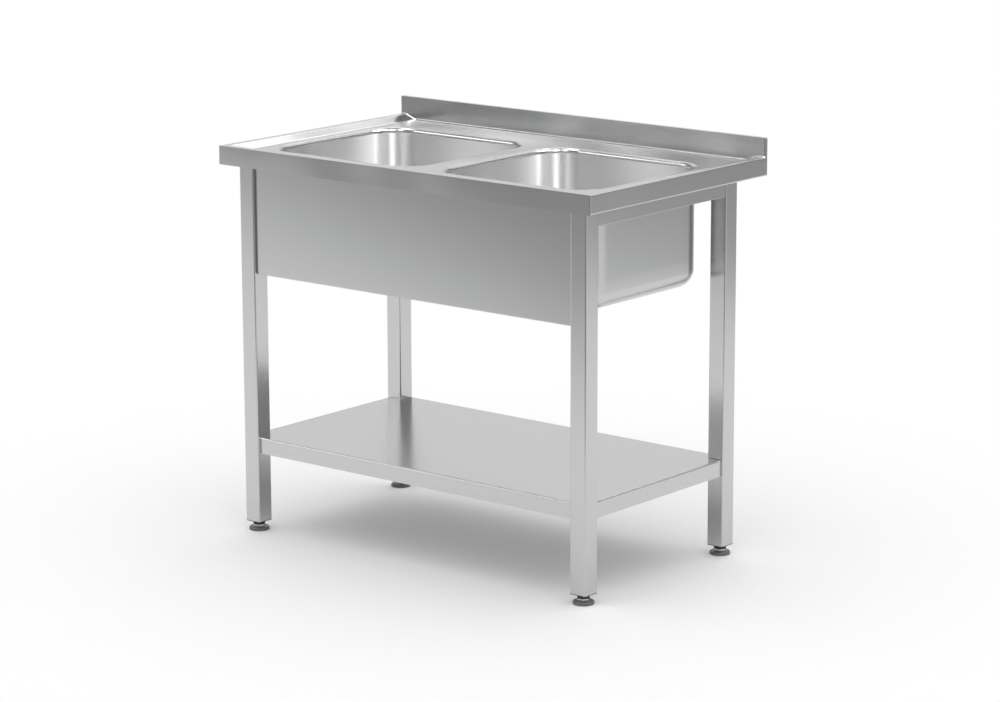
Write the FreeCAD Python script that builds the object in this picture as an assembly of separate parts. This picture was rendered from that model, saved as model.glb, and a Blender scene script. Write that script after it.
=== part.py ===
import FreeCAD, Part
import math
import os

from FreeCAD import Vector

# A free-standing stainless sink unit: a pressed worktop with two deep-drawn bowls and a rear
# upstand, carried by a welded frame of square legs and rectangular rails, with a front apron,
# a notched under-shelf and four screw feet.
#
# Millimetres. X runs to the right, Y to the back and Z up. The origin is on the floor under
# the middle of the worktop.

# ---------------------------------------------------------------- worktop
TOP_WIDTH = 1000.0  # left edge to right edge
TOP_DEPTH = 600.0  # front edge to back edge
RIM_HEIGHT = 845.0  # floor to the raised rim, with the feet wound in
FASCIA_HEIGHT = 40.0  # rim to the underside of the folded edge
TOP_SHEET = 1.5  # sheet of the worktop
RIM_WIDTH = 18.0  # flat top of the raised rim
RECESS_DEPTH = 10.0  # rim down to the wet field
RECESS_RUN = 25.0  # width of the slope between rim and field
CREST_RADIUS = 6.0  # bend from the rim into the slope
FOOT_RADIUS = 12.0  # bend from the slope into the field
BEND_RADIUS = 3.0  # outer radius of the fascia's folds
HEM_WIDTH = 12.0  # flange folded inwards under the fascia
UPSTAND_HEIGHT = 40.0  # rim to the top of the upstand
UPSTAND_THICKNESS = 10.0
COVE_RADIUS = 2.5  # field into upstand

# ---------------------------------------------------------------- bowls
BOWL_DROP = 250.0  # wet field down to the bowl's floor
BOWL_SHEET = 1.2
BOWL_DIVIDER = 60.0  # between the insides of the two bowls
BOWL_BACK = 120.0  # worktop's back edge to the inside of the bowls
LIP_CLEARANCE = 3.0  # start of the lip's roll to the front legs and the side rails
BACK_CLEARANCE = 10.0  # start of the lip's roll to the rear legs
BOWL_CORNER = 65.0  # upright corners, inside
BOWL_FOOT_RADIUS = 35.0  # walls into floor, inside
LIP_RADIUS = 8.0  # field rolled down into the bowl
LIP_STRAIGHT = 2.0  # upright end of the lip, where the bowl is welded on
SEAT_RADIUS = 39.0  # pressed seat round the drain hole
SEAT_DEPTH = 5.0
SEAT_BEND = 1.5
DRAIN_RADIUS = 26.0  # hole in the seat

# ---------------------------------------------------------------- waste outlets
WASTE_THREAD_RADIUS = 23.9  # 1 1/2 inch pipe thread
WASTE_BORE = 19.0
WASTE_FLANGE_RADIUS = 36.0
WASTE_FLANGE = 1.8
WASTE_LENGTH = 44.0  # flange to the end of the thread
WASTE_CONE_DEPTH = 9.0  # conical seat for the plug
WASTE_CONE_RADIUS = 22.0
GRID_BAR = 3.0
GRID_DEPTH = 20.0  # flange down to the top of the cross bars
SEAL = 1.2  # washer between flange and seat
LOWER_SEAL = 3.0
LOWER_SEAL_RADIUS = 34.0
BACKNUT_HEIGHT = 8.0
BACKNUT_FLATS = 64.0
UNDERCUT_RADIUS = 22.6  # thread relief that parts the trap's thread from the backnut's
UNDERCUT_HEIGHT = 1.5
OUTLET_THREAD = 26.0  # free thread below the relief, for the trap
PLUG_GRIP_RADIUS = 9.0
PLUG_GRIP_HEIGHT = 9.0
PLUG_NECK_RADIUS = 4.0
PLUG_NECK = 5.0

# ---------------------------------------------------------------- frame
LEG = 40.0  # square tube
LEG_WALL = 1.5
LEG_RADIUS = 3.0
LEG_INSET_SIDE = 32.0  # worktop's edge to the leg's outer face
LEG_INSET_FRONT = 29.0
RAIL_WIDTH = 25.0
RAIL_HEIGHT = 50.0
RAIL_WALL = 1.5
RAIL_RADIUS = 1.0
SIDE_RAIL_INSET = 2.0  # outer faces of the legs to the side rails
STIFFENER_HEIGHT = 13.5  # folded channels between frame and worktop
STIFFENER_SHEET = 1.5
STIFFENER_RADIUS = 2.5
STUD_RADIUS = 3.0
STUD_END = 9.0  # how far a stud comes out under its rail
NUT_HEIGHT = 5.0
NUT_FLATS = 10.0
RAIL_STUDS = 3  # along the front and rear rails

# ---------------------------------------------------------------- apron
APRON_SHEET = 1.2
APRON_DROP = 235.0  # underside of the fascia to the apron's lower edge
APRON_RETURN = 15.0  # fold along the lower edge
APRON_FLANGE = 24.0  # folds against the legs
APRON_SCREWS = 2  # on each side
SCREW_RADIUS = 2.4
SCREW_LENGTH = 12.0

# ---------------------------------------------------------------- shelf
SHELF_TOP = 210.0
SHELF_EDGE = 35.0
SHELF_SHEET = 1.2
SHELF_RADIUS = 3.0
SHELF_HEM = 12.0
SHELF_SETBACK_SIDE = 5.0  # leg's outer face to the shelf's edge
SHELF_SETBACK_FRONT = 7.0
SHELF_RIB_WIDTH = 60.0
SHELF_RIB_HEIGHT = 28.0
BOLT_RADIUS = 3.0
BOLT_LENGTH = 14.0
BOLT_HEAD_RADIUS = 5.2
BOLT_HEAD = 3.3
BOLT_DROP = 18.0  # shelf's top face to the bolts
RIVET_NUT_RADIUS = 4.5
RIVET_NUT_LENGTH = 12.0

# ---------------------------------------------------------------- feet
PAD_RADIUS = 22.0
PAD_HEIGHT = 6.7
PAD_SHOULDER = 2.5
HEX_FLATS = 22.0
HEX_HEIGHT = 5.2
HEX_CHAMFER = 0.8
STEM_RADIUS = 5.0
STEM_ABOVE_HEX = 48.0
SPIGOT_RADIUS = 4.0
SPIGOT_DEPTH = 4.2
BOSS_RADIUS = 13.0
BOSS_HEIGHT = 8.0
INSERT_FLANGE = 1.5
INSERT_DEPTH = 20.0

# ---------------------------------------------------------------- clearances
RUNNING = 0.08  # screw in its threaded bore, spigot in its socket
CLEARANCE = 0.3  # pieces that move past each other, and loose fits
HOLE_CLEARANCE = 0.3  # screw in a drilled hole
THREAD_CLEARANCE = 0.05  # nut on its thread

# ---------------------------------------------------------------- derived places
half_width = TOP_WIDTH / 2
half_depth = TOP_DEPTH / 2
field_z = RIM_HEIGHT - RECESS_DEPTH
field_under = field_z - TOP_SHEET
hem_z = RIM_HEIGHT - FASCIA_HEIGHT
upstand_z = RIM_HEIGHT + UPSTAND_HEIGHT
upstand_y = half_depth - UPSTAND_THICKNESS
slope_angle = math.atan2(RECESS_DEPTH, RECESS_RUN)

leg_x = half_width - LEG_INSET_SIDE - LEG / 2
side_rail_x = leg_x + LEG / 2 - SIDE_RAIL_INSET - RAIL_WIDTH / 2
leg_front = -half_depth + LEG_INSET_FRONT + LEG / 2

bowl_x0 = BOWL_DIVIDER / 2
bowl_x1 = side_rail_x - RAIL_WIDTH / 2 - LIP_CLEARANCE - LIP_RADIUS
bowl_y0 = leg_front + LEG / 2 + LIP_CLEARANCE + LIP_RADIUS
bowl_y1 = half_depth - BOWL_BACK
bowl_width = bowl_x1 - bowl_x0  # inside, along X
bowl_length = bowl_y1 - bowl_y0  # inside, along Y
bowl_x = (bowl_x0 + bowl_x1) / 2
bowl_y = (bowl_y0 + bowl_y1) / 2
bowl_floor = field_z - BOWL_DROP
lip_end = field_z - LIP_RADIUS - LIP_STRAIGHT
seat_z = bowl_floor - SEAT_DEPTH
seat_under = seat_z - BOWL_SHEET
waste_top = seat_z + SEAL + WASTE_FLANGE
waste_end = waste_top - WASTE_LENGTH
outlet_top = waste_end + OUTLET_THREAD

leg_bottom = PAD_HEIGHT + CLEARANCE + HEX_HEIGHT + CLEARANCE + BOSS_HEIGHT + INSERT_FLANGE
frame_top = field_under - STIFFENER_HEIGHT
rail_bottom = frame_top - RAIL_HEIGHT
leg_back = bowl_y1 + LIP_RADIUS + BACK_CLEARANCE + LEG / 2
leg_places = {
    "front_left": (-leg_x, leg_front),
    "front_right": (leg_x, leg_front),
    "rear_left": (-leg_x, leg_back),
    "rear_right": (leg_x, leg_back),
}
between_x = leg_x - LEG / 2  # inner faces of the legs
between_y0 = leg_front + LEG / 2
between_y1 = leg_back - LEG / 2
divider_reach = bowl_x0 - LIP_RADIUS  # middle to the side of the channel between the bowls

UP = Vector(0, 0, 1)
ALONG_X = Vector(1, 0, 0)
ALONG_Y = Vector(0, 1, 0)


# ---------------------------------------------------------------- helpers
def box(x0, x1, y0, y1, z0, z1):
    return Part.makeBox(x1 - x0, y1 - y0, z1 - z0, Vector(x0, y0, z0))


def cylinder(radius, start, length, axis=UP):
    return Part.makeCylinder(radius, length, Vector(*start), axis)


def rounded_wire(width, height, radius):
    """Closed outline of a rectangle with round corners, centred on the origin in the XY plane."""
    x, y, r = width / 2, height / 2, radius
    edges = []
    for sx, sy, turn in ((1, 1, 0), (-1, 1, 90), (-1, -1, 180), (1, -1, 270)):
        centre = Vector(sx * (x - r), sy * (y - r), 0)
        edges.append(Part.makeCircle(r, centre, UP, turn, turn + 90))
    sides = []
    for first, second in zip(edges, edges[1:] + edges[:1]):
        start = first.valueAt(first.LastParameter)
        end = second.valueAt(second.FirstParameter)
        sides += [first, Part.makeLine(start, end)]
    return Part.Wire(sides)


def rounded_prism(width, height, radius, centre, z0, z1):
    """Upright block with round corners."""
    face = Part.Face(rounded_wire(width, height, radius))
    prism = face.extrude(Vector(0, 0, z1 - z0))
    prism.translate(Vector(centre[0], centre[1], z0))
    return prism


def hexagon(flats, centre, z0, height):
    """Upright hexagonal prism, with a corner towards X."""
    corner = flats / math.sqrt(3)
    points = [
        Vector(corner * math.cos(math.radians(60 * n)), corner * math.sin(math.radians(60 * n)), 0)
        for n in range(7)
    ]
    prism = Part.Face(Part.makePolygon(points)).extrude(Vector(0, 0, height))
    prism.translate(Vector(centre[0], centre[1], z0))
    return prism


def lie_along(shape, axis, start):
    """Turns a shape that was made upright at the origin to run along axis from start."""
    turned = shape.copy()
    if axis is ALONG_X:
        turned.rotate(Vector(0, 0, 0), ALONG_Y, 90)
    elif axis is ALONG_Y:
        turned.rotate(Vector(0, 0, 0), ALONG_X, -90)
    turned.translate(Vector(*start))
    return turned


def square_tube(width, height, wall, radius, length):
    """Upright hollow tube from the origin, width along X and height along Y."""
    outer = Part.Face(rounded_wire(width, height, radius))
    inner = Part.Face(rounded_wire(width - 2 * wall, height - 2 * wall, max(radius - wall, wall / 3)))
    return outer.cut(inner).extrude(Vector(0, 0, length))


def planar_solid(lower, upper):
    """Solid between two four-cornered outlines whose sides are flat."""
    faces = [Part.Face(Part.makePolygon(loop + loop[:1])) for loop in (lower, upper)]
    for n in range(4):
        m = (n + 1) % 4
        loop = [lower[n], lower[m], upper[m], upper[n], lower[n]]
        faces.append(Part.Face(Part.makePolygon(loop)))
    return Part.Solid(Part.Shell(faces))


def edges_where(shape, test):
    """Edges whose two ends and middle all pass the test."""
    found = []
    for edge in shape.Edges:
        middle = edge.valueAt((edge.FirstParameter + edge.LastParameter) / 2)
        if all(test(p) for p in [v.Point for v in edge.Vertexes] + [middle]):
            found.append(edge)
    return found


def near(a, b):
    return abs(a - b) < 1e-4


def ring_of(solids):
    return Part.makeCompound(solids)


# ---------------------------------------------------------------- worktop
def recess_block(skin):
    """The hollow above the wet field, or the same hollow seen from under the sheet."""
    shift = skin * math.tan(slope_angle / 2)
    top_x = half_width - RIM_WIDTH + shift
    top_y = -half_depth + RIM_WIDTH - shift
    low_x = top_x - RECESS_RUN
    low_y = top_y + RECESS_RUN
    back = upstand_y + skin
    low_z = field_z - skin
    top_z = RIM_HEIGHT - skin
    lower = [Vector(x, y, low_z) for x, y in
             ((-low_x, low_y), (low_x, low_y), (low_x, back), (-low_x, back))]
    upper = [Vector(x, y, top_z) for x, y in
             ((-top_x, top_y), (top_x, top_y), (top_x, back), (-top_x, back))]
    return planar_solid(lower, upper)


def worktop_form(skin):
    """The worktop as one block, shrunk by skin on every face that the sheet covers."""
    x, y = half_width - skin, half_depth - skin
    low, top, face = hem_z + skin, RIM_HEIGHT - skin, upstand_y + skin
    block = box(-x, x, -y, y, low, top).fuse(box(-x, x, face, y, low, upstand_z - skin)).removeSplitter()
    block = block.cut(recess_block(skin)).removeSplitter()

    shift = skin * math.tan(slope_angle / 2)
    crest_x = half_width - RIM_WIDTH + shift
    crest_y = -half_depth + RIM_WIDTH - shift
    crest = edges_where(block, lambda p: near(p.z, top) and (near(p.y, crest_y) or near(abs(p.x), crest_x)))
    block = block.makeFillet(CREST_RADIUS - skin, crest)

    floor_z = field_z - skin
    foot_x, foot_y = crest_x - RECESS_RUN, crest_y + RECESS_RUN
    foot = edges_where(block, lambda p: near(p.z, floor_z) and (near(p.y, foot_y) or near(abs(p.x), foot_x)))
    block = block.makeFillet(FOOT_RADIUS + skin, foot)
    cove = edges_where(block, lambda p: near(p.y, face) and floor_z - 0.1 < p.z < top + 0.1)
    block = block.makeFillet(COVE_RADIUS + skin, cove)

    lid = upstand_z - skin
    outside = edges_where(block, lambda p: near(abs(p.x), x))
    outside += edges_where(block, lambda p: near(abs(p.y), y) and abs(p.x) < x - 1)
    outside += edges_where(block, lambda p: near(p.z, lid) and near(p.y, face) and abs(p.x) < x - 1)
    block = block.makeFillet(BEND_RADIUS - skin, outside)

    for side in (-1, 1):
        hole = rounded_prism(bowl_width + 2 * skin, bowl_length + 2 * skin, BOWL_CORNER + skin,
                             (side * bowl_x, bowl_y), hem_z - 1, RIM_HEIGHT + 1)
        block = block.cut(hole)
    mouth = edges_where(block, lambda p: near(p.z, floor_z) and
                        bowl_y0 - skin - 0.1 < p.y < bowl_y1 + skin + 0.1)
    mouth = [e for e in mouth if abs(e.valueAt(e.FirstParameter).x) < bowl_x1 + skin + 0.1]
    return block.makeFillet(LIP_RADIUS - skin, mouth)


def make_worktop():
    sheet = worktop_form(0.0).cut(worktop_form(TOP_SHEET))
    inset = HEM_WIDTH
    sheet = sheet.cut(box(-half_width + inset, half_width - inset, -half_depth + inset,
                          half_depth - inset, hem_z - 1, lip_end))
    return sheet


# ---------------------------------------------------------------- bowls and wastes
def bowl_form(x, skin, top):
    """Inside of a bowl, grown by skin: walls, rounded foot and the pressed drain seat."""
    low = bowl_floor - skin
    form = rounded_prism(bowl_width + 2 * skin, bowl_length + 2 * skin, BOWL_CORNER + skin,
                         (x, bowl_y), low, top)
    form = form.makeFillet(BOWL_FOOT_RADIUS + skin, edges_where(form, lambda p: near(p.z, low)))
    seat = cylinder(SEAT_RADIUS + skin, (x, bowl_y, low - SEAT_DEPTH), SEAT_DEPTH + SEAT_BEND)
    form = form.fuse(seat).removeSplitter()
    form = form.makeFillet(SEAT_BEND + skin, edges_where(form, lambda p: near(p.z, low - SEAT_DEPTH)))
    reach = SEAT_RADIUS + skin + 0.1
    mouth = edges_where(form, lambda p: near(p.z, low) and math.hypot(p.x - x, p.y - bowl_y) < reach)
    return form.makeFillet(SEAT_BEND + BOWL_SHEET - skin, mouth)


def make_bowl(x):
    bowl = bowl_form(x, BOWL_SHEET, lip_end).cut(bowl_form(x, 0.0, field_z))
    return bowl.cut(cylinder(DRAIN_RADIUS, (x, bowl_y, seat_under - 1), BOWL_DROP))


def revolve_profile(points, x, y):
    """Turns an (r, z) outline about the upright axis through x, y."""
    loop = [Vector(r, 0, z) for r, z in points]
    face = Part.Face(Part.makePolygon(loop + loop[:1]))
    solid = face.revolve(Vector(0, 0, 0), UP, 360)
    solid.translate(Vector(x, y, 0))
    return solid


def make_waste_body(x):
    """Flange flush with the bowl's floor, conical plug seat, cross grid and threaded tail."""
    under = waste_top - WASTE_FLANGE
    body = revolve_profile(
        [(WASTE_CONE_RADIUS, waste_top), (WASTE_FLANGE_RADIUS - 0.6, waste_top),
         (WASTE_FLANGE_RADIUS, waste_top - 0.6), (WASTE_FLANGE_RADIUS, under),
         (WASTE_THREAD_RADIUS, under), (WASTE_THREAD_RADIUS, outlet_top + UNDERCUT_HEIGHT),
         (UNDERCUT_RADIUS, outlet_top + UNDERCUT_HEIGHT), (UNDERCUT_RADIUS, outlet_top),
         (WASTE_THREAD_RADIUS, outlet_top), (WASTE_THREAD_RADIUS, waste_end),
         (WASTE_BORE, waste_end), (WASTE_BORE, waste_top - WASTE_CONE_DEPTH)], x, bowl_y)
    z1 = waste_top - GRID_DEPTH
    reach = (WASTE_BORE + WASTE_THREAD_RADIUS) / 2
    bars = [box(x - reach, x + reach, bowl_y - GRID_BAR / 2, bowl_y + GRID_BAR / 2, z1 - GRID_BAR, z1),
            box(x - GRID_BAR / 2, x + GRID_BAR / 2, bowl_y - reach, bowl_y + reach, z1 - GRID_BAR, z1)]
    return body.fuse(bars).removeSplitter()


def washer(x, inner, outer, z0, height):
    return cylinder(outer, (x, bowl_y, z0), height).cut(cylinder(inner, (x, bowl_y, z0 - 1), height + 2))


def make_waste_seal(x):
    return washer(x, DRAIN_RADIUS, WASTE_FLANGE_RADIUS - 1, seat_z, SEAL)


def make_lower_seal(x):
    return washer(x, WASTE_THREAD_RADIUS + CLEARANCE, LOWER_SEAL_RADIUS, seat_under - LOWER_SEAL, LOWER_SEAL)


def make_backnut(x):
    top = seat_under - LOWER_SEAL
    nut = hexagon(BACKNUT_FLATS, (x, bowl_y), top - BACKNUT_HEIGHT, BACKNUT_HEIGHT)
    trim = cylinder(BACKNUT_FLATS / 2 + 2.5, (x, bowl_y, top - BACKNUT_HEIGHT), BACKNUT_HEIGHT)
    bore = cylinder(WASTE_THREAD_RADIUS + THREAD_CLEARANCE, (x, bowl_y, top - BACKNUT_HEIGHT - 1),
                    BACKNUT_HEIGHT + 2)
    return nut.common(trim).cut(bore)


def make_plug(x):
    """Tapered stopper standing in the waste's cone, with a neck and a grip."""
    gap = CLEARANCE / math.cos(math.atan2(WASTE_CONE_RADIUS - WASTE_BORE, WASTE_CONE_DEPTH))
    top, low = waste_top + 1.0, waste_top - WASTE_CONE_DEPTH + 1.0
    slope = (WASTE_CONE_RADIUS - WASTE_BORE) / WASTE_CONE_DEPTH
    r_low = WASTE_BORE + slope * 1.0 - gap
    r_top = WASTE_CONE_RADIUS + slope * 1.0 - gap
    neck = top + PLUG_NECK
    grip = neck + PLUG_GRIP_HEIGHT
    return revolve_profile(
        [(0, low), (r_low, low), (r_top, top), (PLUG_NECK_RADIUS, top), (PLUG_NECK_RADIUS, neck),
         (PLUG_GRIP_RADIUS - 1, neck), (PLUG_GRIP_RADIUS, neck + 1), (PLUG_GRIP_RADIUS, grip - 2),
         (PLUG_GRIP_RADIUS - 2, grip), (0, grip)], x, bowl_y)


# ---------------------------------------------------------------- frame
def stud_places():
    """Where the worktop's studs come down through the rails."""
    span = 2 * between_x
    places = []
    for n in range(RAIL_STUDS):
        x = -between_x + span * (n + 0.5) / RAIL_STUDS
        places += [(x, leg_front), (x, leg_back)]
    return places


def make_cross_rail(y):
    """Front or rear rail, drilled where the studs pass."""
    tube = square_tube(RAIL_HEIGHT, RAIL_WIDTH, RAIL_WALL, RAIL_RADIUS, 2 * between_x)
    rail = lie_along(tube, ALONG_X, (-between_x, y, frame_top - RAIL_HEIGHT / 2))
    holes = [cylinder(STUD_RADIUS + HOLE_CLEARANCE, (stud_x, y, rail_bottom - 1), RAIL_HEIGHT + 2)
             for stud_x, stud_y in stud_places() if near(stud_y, y)]
    return rail.cut(holes)


def make_side_rail(x):
    tube = square_tube(RAIL_WIDTH, RAIL_HEIGHT, RAIL_WALL, RAIL_RADIUS, between_y1 - between_y0)
    return lie_along(tube, ALONG_Y, (x, between_y0, frame_top - RAIL_HEIGHT / 2))


def channel(x0, x1, y0, y1, axis, z0, z1, wall, radius):
    """Folded channel, open below, running along axis."""
    outer = box(x0, x1, y0, y1, z0, z1)
    if axis is ALONG_X:
        inner = box(x0 - 1, x1 + 1, y0 + wall, y1 - wall, z0 - 1, z1 - wall)
        folds = edges_where(outer, lambda p: near(p.z, z1) and (near(p.y, y0) or near(p.y, y1)))
        inner_folds = edges_where(inner, lambda p: near(p.z, z1 - wall) and
                                  (near(p.y, y0 + wall) or near(p.y, y1 - wall)))
    else:
        inner = box(x0 + wall, x1 - wall, y0 - 1, y1 + 1, z0 - 1, z1 - wall)
        folds = edges_where(outer, lambda p: near(p.z, z1) and (near(p.x, x0) or near(p.x, x1)))
        inner_folds = edges_where(inner, lambda p: near(p.z, z1 - wall) and
                                  (near(p.x, x0 + wall) or near(p.x, x1 - wall)))
    return outer.makeFillet(radius, folds).cut(inner.makeFillet(radius - wall, inner_folds))


def make_cross_stiffener(y):
    """Channel on the leg tops and the cross rail, under the field."""
    reach = half_width - RIM_WIDTH - RECESS_RUN - CREST_RADIUS / 2
    return channel(-reach, reach, y - LEG / 2, y + LEG / 2, ALONG_X, frame_top, field_under,
                   STIFFENER_SHEET, STIFFENER_RADIUS)


def make_side_stiffener(x):
    return channel(x - RAIL_WIDTH / 2, x + RAIL_WIDTH / 2, between_y0, between_y1, ALONG_Y, frame_top,
                   field_under, STIFFENER_SHEET, STIFFENER_RADIUS)


def make_divider_stiffener():
    return channel(-divider_reach, divider_reach, between_y0, between_y1, ALONG_Y, frame_top, field_under,
                   STIFFENER_SHEET, STIFFENER_RADIUS)


def make_studs():
    top = field_under - STIFFENER_SHEET
    low = rail_bottom - STUD_END
    return ring_of([cylinder(STUD_RADIUS, (x, y, low), top - low) for x, y in stud_places()])


def make_stud_nuts():
    nuts = []
    for x, y in stud_places():
        nut = hexagon(NUT_FLATS, (x, y), rail_bottom - NUT_HEIGHT, NUT_HEIGHT)
        bore = cylinder(STUD_RADIUS + THREAD_CLEARANCE, (x, y, rail_bottom - NUT_HEIGHT - 1), NUT_HEIGHT + 2)
        nuts.append(nut.cut(bore))
    return ring_of(nuts)


def fixing_holes(x, y):
    """Holes in a leg's two inner faces: rivet nuts for the shelf, screws for the apron."""
    inward_x = -math.copysign(1, x)
    inward_y = 1 if y < 0 else -1
    z = SHELF_TOP - BOLT_DROP
    face_x, face_y = x + inward_x * LEG / 2, y + inward_y * LEG / 2
    depth = LEG_WALL * 2
    holes = [cylinder(RIVET_NUT_RADIUS, (face_x - depth, y, z), 2 * depth, ALONG_X),
             cylinder(RIVET_NUT_RADIUS, (x, face_y - depth, z), 2 * depth, ALONG_Y)]
    if y < 0:
        for sz in apron_screw_heights():
            holes.append(cylinder(SCREW_RADIUS, (face_x - depth, y, sz), 2 * depth, ALONG_X))
    return holes


def make_leg(x, y):
    tube = square_tube(LEG, LEG, LEG_WALL, LEG_RADIUS, frame_top - leg_bottom)
    tube.translate(Vector(x, y, leg_bottom))
    return tube.cut(fixing_holes(x, y))


# ---------------------------------------------------------------- apron
apron_z = hem_z - APRON_DROP
apron_face = leg_front - RAIL_WIDTH / 2 - APRON_SHEET
apron_flange_top = rail_bottom - CLEARANCE


def apron_screw_heights():
    span = apron_flange_top - apron_z
    return [apron_z + span * (n + 0.5) / APRON_SCREWS for n in range(APRON_SCREWS)]


def make_apron():
    """Front panel hung on the front rail, folded back below and against both legs."""
    x = between_x - CLEARANCE
    y0, y1 = apron_face, apron_face + APRON_SHEET
    outer = box(-x, x, y0, y0 + APRON_FLANGE, apron_z, apron_flange_top)
    inner = box(-x + APRON_SHEET, x - APRON_SHEET, y1, y0 + APRON_FLANGE + 1,
                apron_z + APRON_SHEET, apron_flange_top + 1)
    tray = outer.cut(inner)
    tray = tray.cut(box(-x + APRON_FLANGE, x - APRON_FLANGE, y0 + APRON_RETURN,
                        y0 + APRON_FLANGE + 1, apron_z - 1, apron_z + APRON_SHEET + 1))
    face = box(-x, x, y0, y1, apron_z + APRON_SHEET, frame_top)
    panel = tray.fuse(face).removeSplitter()
    fold = edges_where(panel, lambda p: near(p.z, apron_z) and near(p.y, y0))
    panel = panel.makeFillet(APRON_SHEET * 1.6, fold)
    for side in (-1, 1):
        for z in apron_screw_heights():
            panel = panel.cut(cylinder(SCREW_RADIUS + HOLE_CLEARANCE,
                                       (side * x - 2 * APRON_SHEET, leg_front, z), 4 * APRON_SHEET, ALONG_X))
    return panel


def make_apron_screws():
    """Pan-head screws through the apron's end folds into the front legs."""
    screws = []
    head_face = between_x - CLEARANCE - APRON_SHEET
    for side in (-1, 1):
        for z in apron_screw_heights():
            shank = cylinder(SCREW_RADIUS, (head_face, leg_front, z), SCREW_LENGTH, ALONG_X)
            head = cylinder(SCREW_RADIUS * 2, (head_face - SCREW_RADIUS, leg_front, z), SCREW_RADIUS, ALONG_X)
            head = head.makeFillet(SCREW_RADIUS * 0.6,
                                   edges_where(head, lambda p: near(p.x, head_face - SCREW_RADIUS)))
            screw = head.fuse(shank).removeSplitter()
            screws.append(screw if side > 0 else screw.mirror(Vector(0, 0, 0), ALONG_X))
    return ring_of(screws)


# ---------------------------------------------------------------- shelf
shelf_x = leg_x + LEG / 2 - SHELF_SETBACK_SIDE
shelf_y0 = leg_front - LEG / 2 + SHELF_SETBACK_FRONT
shelf_y1 = leg_back + LEG / 2 - SHELF_SETBACK_FRONT
notch_x = between_x - CLEARANCE
notch_y0 = between_y0 + CLEARANCE
notch_y1 = between_y1 - CLEARANCE


def shelf_form(skin, z0, z1):
    """Block of the shelf's outline, which is notched at the four legs, shrunk by skin."""
    wide = box(-shelf_x + skin, shelf_x - skin, notch_y0 + skin, notch_y1 - skin, z0, z1)
    deep = box(-notch_x + skin, notch_x - skin, shelf_y0 + skin, shelf_y1 - skin, z0, z1)
    return wide.fuse(deep).removeSplitter()


def make_shelf():
    z0, z1 = SHELF_TOP - SHELF_EDGE, SHELF_TOP
    outer = shelf_form(0.0, z0, z1)
    outer = outer.makeFillet(SHELF_RADIUS, edges_where(outer, lambda p: near(p.z, z1)))
    inner_top = z1 - SHELF_SHEET
    inner = shelf_form(SHELF_SHEET, z0 + SHELF_SHEET, inner_top)
    inner = inner.makeFillet(SHELF_RADIUS - SHELF_SHEET, edges_where(inner, lambda p: near(p.z, inner_top)))
    pan = outer.cut(inner).cut(shelf_form(SHELF_HEM, z0 - 1, z0 + SHELF_SHEET + 1))
    return pan.cut(shelf_bolt_shanks(BOLT_RADIUS + HOLE_CLEARANCE, BOLT_LENGTH))


def make_shelf_rib():
    """Folded channel glued under the middle of the shelf."""
    top = SHELF_TOP - SHELF_SHEET
    x = shelf_x - SHELF_RADIUS - CLEARANCE
    y = (shelf_y0 + shelf_y1) / 2
    return channel(-x, x, y - SHELF_RIB_WIDTH / 2, y + SHELF_RIB_WIDTH / 2, ALONG_X,
                   top - SHELF_RIB_HEIGHT, top, SHELF_SHEET, SHELF_SHEET * 2)


def shelf_bolt_axes():
    """Start of each bolt on the inside of the shelf's folds, with its direction out to the leg."""
    z = SHELF_TOP - BOLT_DROP
    axes = []
    for x, y in leg_places.values():
        side = math.copysign(1, x)
        axes.append((Vector(side * (notch_x - SHELF_SHEET), y, z), Vector(side, 0, 0)))
        edge = notch_y0 + SHELF_SHEET if y < 0 else notch_y1 - SHELF_SHEET
        axes.append((Vector(x, edge, z), Vector(0, math.copysign(1, y), 0)))
    return axes


def shelf_bolt_shanks(radius, length):
    return [Part.makeCylinder(radius, length, start - out * 0.5, out) for start, out in shelf_bolt_axes()]


def make_shelf_bolts():
    bolts = []
    for start, out in shelf_bolt_axes():
        shank = Part.makeCylinder(BOLT_RADIUS, BOLT_LENGTH, start, out)
        head = Part.makeCylinder(BOLT_HEAD_RADIUS, BOLT_HEAD, start - out * BOLT_HEAD, out)
        crown = [e for e in head.Edges if e.Closed and near((e.CenterOfMass - start).dot(out), -BOLT_HEAD)]
        bolts.append(head.makeFillet(BOLT_HEAD * 0.6, crown).fuse(shank).removeSplitter())
    return ring_of(bolts)


def make_rivet_nuts():
    """Threaded inserts set in the legs' inner faces, where the shelf's bolts end."""
    nuts = []
    gap = SHELF_SHEET + CLEARANCE
    for start, out in shelf_bolt_axes():
        face = start + out * gap
        sleeve = Part.makeCylinder(RIVET_NUT_RADIUS, RIVET_NUT_LENGTH, face, out)
        collar = Part.makeCylinder(RIVET_NUT_RADIUS + 1.2, 1.5, face + out * LEG_WALL, out)
        bore = Part.makeCylinder(BOLT_RADIUS + THREAD_CLEARANCE, RIVET_NUT_LENGTH + 2, face - out, out)
        nuts.append(sleeve.fuse(collar).cut(bore))
    return ring_of(nuts)


# ---------------------------------------------------------------- feet
hex_z = PAD_HEIGHT + CLEARANCE
boss_z = hex_z + HEX_HEIGHT + CLEARANCE


def make_insert(x, y):
    """Black plug in the foot of a leg, with a flange, a round boss and the threaded bore."""
    inside = LEG - 2 * LEG_WALL - 2 * RUNNING
    flange_z = boss_z + BOSS_HEIGHT
    boss = cylinder(BOSS_RADIUS, (x, y, boss_z), BOSS_HEIGHT)
    flange = rounded_prism(LEG, LEG, LEG_RADIUS, (x, y), flange_z, leg_bottom)
    body = rounded_prism(inside, inside, max(LEG_RADIUS - LEG_WALL, LEG_WALL / 3), (x, y), leg_bottom,
                         leg_bottom + INSERT_DEPTH)
    bore = cylinder(STEM_RADIUS + RUNNING, (x, y, boss_z - 1), BOSS_HEIGHT + INSERT_FLANGE + INSERT_DEPTH + 2)
    return boss.fuse([flange, body]).removeSplitter().cut(bore)


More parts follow.
